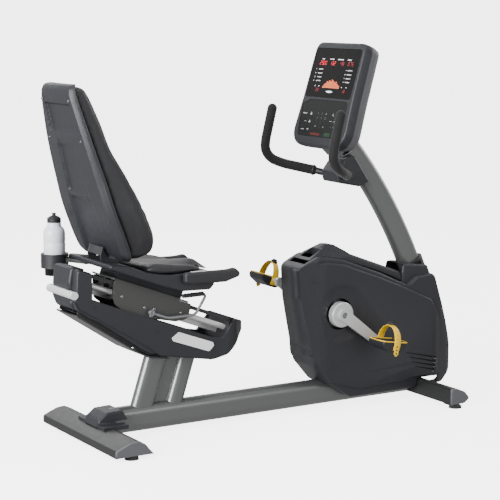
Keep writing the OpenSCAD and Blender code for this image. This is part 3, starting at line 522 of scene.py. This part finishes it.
def backrest_shell():
    rings = []
    for z, rx, rw, sx, sw, _ in through(BACK, 16):
        ch = min(13, rw * 0.2)
        right = [(sx, -sw), (sx - 2.5, -sw), (sx - 3, -sw + 1.5),
                 (sx * 0.6 + rx * 0.4, -(sw * 0.6 + rw * 0.4) - 0.5),
                 (rx + ch * 0.75 + 2, -rw - 0.5), (rx + ch * 0.75, -rw + 0.3)]
        n = 92
        flat = []
        for i in range(n + 1):
            y = -(rw - ch) + 2 * (rw - ch) * i / n
            flat.append((rx - 6 * (1 - (y / rw) ** 2) + shell_depth(y, z), y))
        ring = right + flat + [(x, -y) for x, y in reversed(right)]
        ring += [(sx, sw * k / 4) for k in (3, 2, 1, 0, -1, -2, -3)]
        rings.append([at(x, y, z) for x, y in ring])
    return own(make("backrest_shell_skin", *loft(rings), MATS["dark_plastic"], 32), "backrest_shell")


def backrest_cushion():
    rings = []
    for z, rx, rw, sx, sw, f in through(BACK, 5):
        s, m = sx + 4, 4
        w = sw - m
        half = [(s, -w + 3), (s + 5, -w - 0.5), (s + (f - s) * 0.5, -w - 0.5), (f - 14 - m, -w * 0.975),
                (f - m - 2, -w * 0.86), (f - m - 3, -w * 0.72), (f - m - 8, -w * 0.48), (f - m - 13, -w * 0.22)]
        ring = half + [(f - m - 15, 0)] + [(x, -y) for x, y in reversed(half)]
        ring += [(s - 1, w * k / 4) for k in (3, 2, 1, 0, -1, -2, -3)]
        ring = [(q[0], q[1]) for q in through(ring, 2, closed=True)]
        rings.append([at(x, y, z - 3 if z > 1190 else z + (3 if z < 640 else 0)) for x, y in ring])
    o = make("backrest_cushion_skin", *loft(rings), MATS["upholstery"], 60)
    puff(o, 0.006)
    return own(o, "backrest_cushion")


# Seat by station: x, half width, side edge z, channel z, middle z, underside z.
SEAT = [(186, 160, 604, 602, 600, 588.5), (206, 168, 612, 606, 604, 585), (240, 169, 608, 599, 598, 579.5),
        (300, 167, 600, 589, 594, 575.5), (350, 162, 595, 585, 595, 576), (380, 155, 588, 583, 595, 576.5),
        (402, 144, 583, 582, 595, 577), (424, 126, 579, 581, 595, 575.6), (448, 98, 575, 578, 590, 566),
        (466, 66, 572, 574, 581, 565), (473, 40, 571, 572, 575, 568)]


def seat_cushion():
    rings = []
    for x, w, edge, channel, mid, low in through(SEAT, 6):
        w, low = w - 3, low + 1.5
        edge, channel, mid = edge - 2, channel - 1.5, mid - 2
        half = [(-w + 7, low), (-w, low + 0.4 * (edge - low)), (-w + 8, edge - 2), (-w * 0.85, edge),
                (-w * 0.52, channel), (-w * 0.25, channel * 0.4 + mid * 0.6)]
        ring = half + [(0, mid)] + [(-y, z) for y, z in reversed(half)]
        ring += [(w * k / 3, low) for k in (2, 1, 0, -1, -2)]
        ring = through(ring, 2, closed=True)
        rings.append([at(x, y, z) for y, z in ring])
    o = make("seat_cushion_skin", *loft(rings), MATS["upholstery"], 60)
    puff(o, 0.0035, 0.005)
    return own(o, "seat_cushion")


# Middle line of the left foam grip.
GRIP = [(1010, 110, 858), (930, 192, 880), (892, 214, 898), (872, 221, 930), (874.25, 221, 965),
        (903, 221, 1080)]


def bar_grips():
    for s, side in ((-1, "right"), (1, "left")):
        path = eased([at(x, s * y, z) for x, y, z in GRIP], 0.03, 9)
        dense = []
        for a, b in zip(path, path[1:]):
            n = max(1, int((b - a).length / 0.006))
            dense += [a.lerp(b, k / n) for k in range(n)]
        dense.append(path[-1])
        r = 0.0174
        rings = tube(dense, r, 40, round_end(r))
        o = make(f"grip_{side}", *loft(rings), MATS["foam_rubber"], 60)
        own(o, "bar_grips")
        along = (dense[1] - dense[0]).normalized()
        ring = lathe(f"grip_ring_{side}", [(12.7, 0), (19, 0), (19.4, 1), (19.4, 5), (19, 6), (12.7, 6)],
                     dense[0] - along * 0.004, MATS["black_plastic"], aim=along)
        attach(ring, "frame")


# --- moving and trim pieces ---------------------------------------------------------------------


def adjust_lever():
    path = [(232, -96, 438), (292, -100, 415), (394, -104, 417), (432, -106, 478), (424, -108, 488),
            (345, -110, 487)]
    curve = eased([at(*p) for p in path], 0.016, 8)
    rod = loft(tube(curve, 0.0048, 24, round_end(0.0048)))
    own(make("lever_rod", *rod, MATS["lever_steel"], 50), "adjust_lever")
    boss = [(6, 0), (6, 22), (10, 22.2), (10.5, 24), (10.5, 31), (9.5, 32), (5, 32), (4.6, 30.6), (0, 30.6)]
    own(lathe("lever_boss", boss, at(232, -70, 438), MATS["lever_steel"], aim=(0, -1, 0)), "adjust_lever")
    a, b = at(420, -108.2, 487.9), at(343, -110, 487)
    pts = [a.lerp(b, k / 40) for k in range(41)]
    ribbed = lambda t: 0.0078 + 0.0005 * cos(t * pi * 14) - 0.001 * (t > 0.97)
    sleeve = loft(tube(pts, ribbed, 28, round_end(0.004)))
    own(make("lever_sleeve", *sleeve, MATS["handle_rubber"], 50), "adjust_lever")


def bottle():
    p = at(6, 176, 556)
    body = [(0, 0.8), (26, 0.5), (29.5, 2), (30.3, 5), (30.3, 21), (33, 25), (36, 30), (36.6, 34), (36.6, 60),
            (35.8, 62), (35.8, 66), (36.6, 68), (36.8, 100), (36, 102.5), (36, 106), (36.8, 109), (36.8, 134),
            (35.8, 143), (32, 151), (26, 157), (23.6, 162), (23, 171.8), (20, 171.8), (20, 160), (28, 148),
            (33.5, 138), (34.4, 40), (27, 20), (27, 4), (0, 3.4)]
    own(lathe("bottle_skin", body, p, MATS["bottle_plastic"], 72, angle=28), "bottle")
    water = [(0, 4), (26.6, 5), (26.8, 20), (33.9, 41), (33.8, 72), (33.2, 71.4), (0, 71)]
    w = lathe("bottle_water", water, p, WATER, 64)
    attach(w, "bottle")
    cap = [(0, 172.4), (23.5, 172.2), (24, 173)]
    for k in range(3):
        cap += [(24, 174 + 3 * k), (23.2, 174.8 + 3 * k), (23.2, 175.8 + 3 * k), (24, 176.6 + 3 * k)]
    cap += [(24, 185), (22.4, 187), (17, 191), (11, 194), (8, 195), (6.4, 196.5), (6.2, 199), (7.2, 200.5),
            (7.2, 203.4), (5.5, 204), (0, 204)]
    own(lathe("bottle_cap_skin", cap, p, MATS["black_plastic"], 72, angle=30), "bottle_cap")


def placed(side, tilt):
    """Pedal frame: local mm to the row frame."""
    a = radians(37)
    c = at(1000 - side * 170 * cos(a), side * 192, 356 + side * 170 * sin(a))
    r = Matrix.Rotation(radians(tilt), 4, "Y")
    return lambda x, y, z: c + r @ (Vector((x, -side * y, z)) / 1000)


def pedal(side, name, tilt, body):
    put = placed(side, tilt)
    hw = PEDAL_HALF

    def arch(t):
        """The strap's arch at angle t: y, z and the direction away from the foot."""
        away = Vector((0, -cos(t) * STRAP_RISE, sin(t) * 48)).normalized()
        return -cos(t) * (hw + 2), 6 + STRAP_RISE * sin(t), away

    outline = [(-57, 13), (-57, -13), (-52, -hw), (52, -hw), (57, -13), (57, 13), (52, hw), (-52, hw)]
    loop = eased([put(x, y, 12) for x, y in outline] + [put(*outline[0], 12)], 0.016, 6)
    rim = make(f"pedal_rim_{name}", *loft(tube(loop, 0.0021, 12), caps=False), MATS["strap_yellow"], 60)
    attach(rim, body)
    verts, faces = [], []
    for k in range(9):
        x = -44 + k * 11
        top = 10.4 + 3.2 * (x / 50) ** 2
        half = [(2.4, top - 3), (2, top + 1.2), (1.2, top + 1.8)]
        ring = [(x - a, b) for a, b in half] + [(x + a, b) for a, b in reversed(half)]
        v, f = loft([[put(a, y, b) for a, b in ring] for y in (-38, -36, 36, 38)])
        faces += [tuple(i + len(verts) for i in q) for q in f]
        verts += v
    tread = make(f"pedal_tread_{name}", verts, faces, MATS["black_plastic"], 30)
    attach(tread, body)
    strap_rings = []
    for k in range(61):
        t = radians(-24 + 3.8 * k)
        x = STRAP_X + 2 * cos(t)
        y, z, nrm = arch(t)
        w = 13 - 1.5 * step_in(abs(k - 30), 14, 10)
        sec = [(-w, 0.4), (-w + 1, 0), (w - 1, 0), (w, 0.4), (w, 2.2), (w - 1, 2.8), (-w + 1, 2.8), (-w, 2.2)]
        strap_rings.append([put(x + a, y + nrm.y * b, z + nrm.z * b) for a, b in sec])
    strap = make(f"pedal_strap_skin_{name}", *loft(strap_rings), MATS["strap_yellow"], 40)
    own(strap, "pedal_strap_" + name)
    tail = []
    for t in [k / 12 for k in range(13)]:
        w = 9 - 5 * (t > 0.9)
        tail.append([put(STRAP_X + a, -hw - 2.5 - b - 1.5 * sin(t), 2 - 40 * t)
                     for a, b in ((-w, 0), (w, 0), (w, 2.4), (-w, 2.4))])
    own(make(f"pedal_tail_{name}", *loft(tail), MATS["strap_yellow"], 40), "pedal_strap_" + name)
    verts, faces = [], []
    spots = [(-hw - 5.7, -4, (0, -1, 0)), (-hw - 6.3, -16, (0, -1, 0)), (-hw - 6.6, -28, (0, -1, 0))]
    for deg in (16, 30, 44, 136, 150):
        y, z, nrm = arch(radians(deg))
        spots.append((y + nrm.y * 2.7, z + nrm.z * 2.7, tuple(nrm)))
    for y, z, n in spots:
        turn = Vector((0, 0, 1)).rotation_difference(Vector(n))
        rings = []
        for r, h in ((3.2, -0.6), (3.2, 0.25), (2.6, 0.3), (2.2, -0.3)):
            around = [Vector((r * cos(pi * j / 8), r * 0.8 * sin(pi * j / 8), h)) for j in range(16)]
            rings.append([put(*(Vector((STRAP_X, y, z)) + turn @ q)) for q in around])
        v, f = loft(rings)
        faces += [tuple(i + len(verts) for i in q) for q in f]
        verts += v
    own(make(f"pedal_holes_{name}", verts, faces, MATS["black_plastic"], 40), "pedal_strap_" + name)
    y, z, nrm = arch(radians(104))
    c = put(STRAP_X, y + nrm.y * 2.6, z + nrm.z * 2.6)
    aim = put(STRAP_X, nrm.y * 1000, nrm.z * 1000) - put(STRAP_X, 0, 0)
    knob = [(0, -1), (11.5, -1), (12.5, 0), (12.5, 4), (11.8, 5), (9, 5.6), (8.4, 9), (7.4, 10.4), (0, 11)]
    buckle = lathe(f"pedal_buckle_{name}", knob, c, MATS["black_plastic"], 32, aim=aim.normalized())
    own(buckle, "pedal_strap_" + name)


def screws():
    """Socket screws of the backrest shell and the carriage plate."""
    head = [(0, -3), (3.4, -3), (5.2, 0), (5.2, 0.9), (4.6, 1.6), (2.7, 1.7), (2.4, 0.3), (0, 0.3)]
    spots = []
    for y, z, x in ((101, 1152, -63.5), (119, 1023, -31.5)):
        spots += [(f"shell_screw_{z}_{n}", at(x, s * y, z), (-1, 0, 0.3), "seat")
                  for s, n in ((-1, "r"), (1, "l"))]
    for i, (x, z) in enumerate(((214, 455), (250, 446), (238, 424), (130, 500), (352, 424))):
        spots.append((f"carriage_bolt_{i}", at(x, -CARRIAGE_Y, z), (0, -1, 0), "seat"))
    for name, p, aim, body in spots:
        o = lathe(name, head, p, MATS["bolt_steel"], 28, aim=aim)
        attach(o, body)


# --- console graphics -------------------------------------------------------------------------


def on_face(x, y, z):
    t = radians(17)
    return at(975 + x * cos(t) + z * sin(t), y, 1062 - x * sin(t) + z * cos(t))


def marks(name, shapes, mat, proud):
    """Flat printed or lit marks: each shape is a list of (y, z) corners on the console's face."""
    verts, faces = [], []
    for s in shapes:
        v, f = loft([[on_face(x, y, z) for y, z in s] for x in (1.3, 1.2 - proud)])
        faces += [tuple(i + len(verts) for i in q) for q in f]
        verts += v
    o = make(name, verts, faces, mat, 30, 1e-6)
    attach(o, "frame")
    return o


def box(y, z, w, h):
    return [(y - w / 2, z - h / 2), (y + w / 2, z - h / 2), (y + w / 2, z + h / 2), (y - w / 2, z + h / 2)]


def digit(n, y, z, w, h):
    """Seven-segment figure; the rider's left is +y."""
    t = h * 0.13
    seg = {"a": (0, h / 2, w, t), "g": (0, 0, w, t), "d": (0, -h / 2, w, t),
           "f": (w / 2, h / 4, t, h / 2), "b": (-w / 2, h / 4, t, h / 2),
           "e": (w / 2, -h / 4, t, h / 2), "c": (-w / 2, -h / 4, t, h / 2)}
    on = ["abcdef", "bc", "abged", "abgcd", "fgbc", "afgcd", "afgedc", "abc", "abcdefg", "abcfgd"][n]
    out = []
    for k in on:
        dy, dz, sw, sh = seg[k]
        slant = dz * -0.08
        flat = sw > sh
        out.append(box(y + dy + slant, z + dz, sw * (0.8 if flat else 1), sh * (1 if flat else 0.84)))
    return out


def graphics():
    lit, dim, white, orange = [], [], [], []
    for text, y, w in (("25", 92, 7), ("00", 69, 7), ("132", 20, 7.5)):
        for i, c in enumerate(text):
            lit.extend(digit(int(c), y + (len(text) - 1) * 6 - i * 12, 193.5, w, 13))
    lit += [box(80.5, 197, 1.8, 1.8), box(80.5, 190, 1.8, 1.8)]
    for text, y in (("48", -38), ("075", -91)):
        for i, c in enumerate(text):
            dim.extend(digit(int(c), y + (len(text) - 1) * 6 - i * 12, 193.5, 7.5, 13))
    for y, w in ((84.5, 18), (30, 31), (-23, 36), (-79, 25)):
        n = int(w / 4)
        white += [box(y + w / 2 - 2 - 4 * i, 208, 2.9, 4.2) for i in range(n)]
    for z, w in ((170, 28), (155, 28), (141, 31), (127, 31)):
        white += [box(100 - 2 - 4 * i, z, 2.8, 3.6) for i in range(int(w / 4))]
        white += [box(114, z, 4.6, 2), box(114, z, 2, 4.6)]
        white += [box(-82 - 2 - 4 * i, z, 2.8, 3.6) for i in range(int(w / 4))]
        white += [box(-72, z, 4.6, 2), box(-72, z, 2, 4.6)]
    white += [box(98, 108, 5, 3), box(73, 108, 5, 3), box(-70, 108, 5, 3), box(-98, 108, 5, 3)]
    for i, h in enumerate((2, 4, 5, 7, 6, 8, 7, 9, 8, 7, 6, 7, 5, 4, 3)):
        for k in range(h):
            orange.append(box(47 - i * 7, 104 + k * 3.6, 5.2, 2.6))
    for i in range(2):
        dim += digit((3, 5)[i], 86 - 12 * i, 94, 6.5, 10) + digit((1, 8)[i], -78 - 12 * i, 94, 6.5, 10)
    oval = [(19 * cos(a), 89 + 3.4 * sin(a)) for a in [2 * pi * k / 28 for k in range(28)]]
    marks("display_digits", lit, GLOW["red"], 0.25)
    marks("display_digits_dim", dim, GLOW["dim"], 0.25)
    marks("display_bars", orange, GLOW["orange"], 0.25)
    marks("display_light", [oval], GLOW["cool"], 0.25)
    keys = []
    for z, w, y in ((5, 30, 129), (-24.5, 16, 110), (-54.5, 26, 123)):
        keys += [box(y - 2 - 4 * i, z, 2.8, 4) for i in range(int(w / 4))]
    for z, up in ((6, 1), (-23, 1), (-54, -1)):
        keys.append([(82, z - 5 * up), (68, z - 5 * up), (75, z + 6 * up)])
    for r in range(4):
        for c in range(3):
            n = (1 + c + 3 * r) if r < 3 else (0 if c == 1 else None)
            y, z = 31 - 24.5 * c, 9 - 16.5 * r
            keys += digit(n, y, z, 3.4, 6.4) if n is not None else [box(y, z, 6, 2), box(y, z + 3, 6, 1)]
    keys += [box(-66, 4, 12, 3), box(-62, 7, 3, 7), box(-55, -16, 12, 2), box(-76, -16, 10, 2),
             box(-96, -16, 12, 2), box(-66, -37, 3, 8), box(-80, -35, 9, 3)]
    marks("display_labels", white, MATS["label_white"], 0.2)
    marks("keypad_marks", keys, MATS["label_white"], 0.2)
    marks("keypad_stop", [box(22, -67.5, 60, 9)], KEYS["red"], 0.3)
    marks("keypad_start", [box(-53, -66, 36, 13)], KEYS["green"], 0.3)
    number_keys = [(31 - 24.5 * c, 9 - 16.5 * r, 17, 12) for r in range(4) for c in range(3)]
    other_keys = [(75, 6, 22, 22), (75, -24, 22, 22), (75, -54, 22, 22), (-66, 5, 24, 18), (-76, -16, 62, 11),
                  (-73, -36, 30, 16)]
    pads = []
    for y, z, w, h in number_keys + other_keys:
        r = 2.5
        corners = [(y + sy * (w / 2 - r), z + sz * (h / 2 - r), radians(a0 + 22.5 * k)) for sy, sz, a0 in
                   ((1, 1, 0), (-1, 1, 90), (-1, -1, 180), (1, -1, 270)) for k in range(5)]
        pads.append([(cy + r * cos(a), cz + r * sin(a)) for cy, cz, a in corners])
    marks("keypad_keys", pads, KEYS["pad"], 0.12)


backrest_shell()
backrest_cushion()
seat_cushion()
bar_grips()
adjust_lever()
bottle()
pedal(-1, "right", 9, "pedal_r")
pedal(1, "left", 18, "pedal_l")
screws()
graphics()

# --- floor and backdrop ----------------------------------------------------------------------


def stage_piece(name, build, glow_power):
    """A pale stage piece that the camera sees and that throws no light back on the object."""
    bm = bmesh.new()
    build(bm)
    mesh = bpy.data.meshes.new(name)
    bm.to_mesh(mesh)
    bm.free()
    o = bpy.data.objects.new(name, mesh)
    bpy.context.scene.collection.objects.link(o)
    pale = Mat(name, (0.86, 0.86, 0.86), 0.7, mottle=0.01, edge=0, spec=0.1)
    pale.b.inputs["Emission Color"].default_value = (1, 1, 1, 1)
    pale.b.inputs["Emission Strength"].default_value = glow_power
    mesh.materials.append(pale.done())
    o.visible_diffuse = o.visible_glossy = o.visible_shadow = False


stage_piece("floor", lambda bm: bmesh.ops.create_grid(bm, x_segments=2, y_segments=2, size=90), PALE)
stage_piece("backdrop", lambda bm: bmesh.ops.create_icosphere(bm, subdivisions=4, radius=85), PALE)
